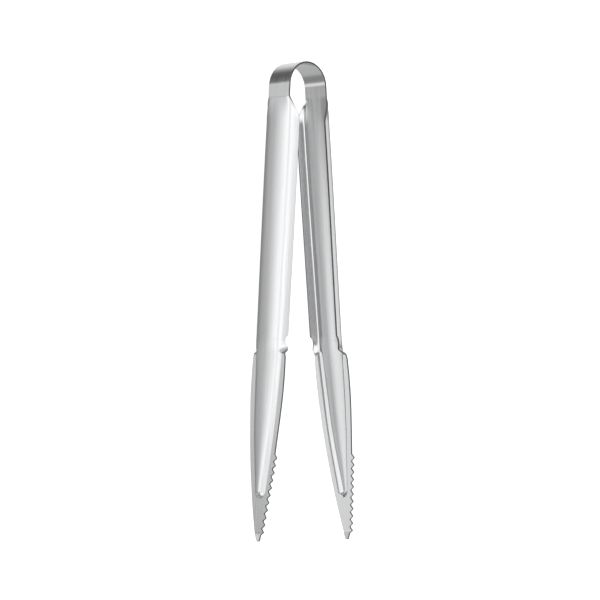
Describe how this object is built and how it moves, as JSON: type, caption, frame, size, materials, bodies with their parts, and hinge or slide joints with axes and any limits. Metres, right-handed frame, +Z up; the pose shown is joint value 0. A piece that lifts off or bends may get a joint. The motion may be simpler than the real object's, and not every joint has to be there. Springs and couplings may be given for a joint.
{
  "type": "spring tongs",
  "caption": "One-piece sprung steel kitchen tongs: a plain bow, channel grips, and flat ribbed blades with one serrated edge each.",
  "frame": {"origin": "middle of the underside of the whole object's box, on the surface that the tongs lie on", "axes": "+X from the bow to the points, +Y from the left arm to the right arm, +Z up from the smooth back edges to the serrated edges"},
  "size_m": [0.2196, 0.0548, 0.0226],
  "materials": {
    "brushed_sheet": "lengthwise brushed, semi-bright"
  },
  "bodies": {
    "crown": {"bow_crown": "brushed_sheet"},
    "left_arm": {"left_bow_leg": "brushed_sheet", "left_grip": "brushed_sheet", "left_blade": "brushed_sheet"},
    "right_arm": {"right_bow_leg": "brushed_sheet", "right_grip": "brushed_sheet", "right_blade": "brushed_sheet"}
  },
  "joints": [
    {"name": "left_squeeze", "type": "hinge", "parent": "crown", "child": "left_arm", "pos_m": [-0.10544, -0.00694, 0.01039], "axis": [0, 0, 1], "range_deg": [0, 6.7], "stiffness_Nm_per_rad": 5.3},
    {"name": "right_squeeze", "type": "hinge", "parent": "crown", "child": "right_arm", "pos_m": [-0.10544, 0.00694, 0.01039], "axis": [0, 0, -1], "range_deg": [0, 6.7], "stiffness_Nm_per_rad": 5.3}
  ],
  "couplings": [
    {"joint": "right_squeeze", "follows": "left_squeeze", "ratio": 1}
  ]
}
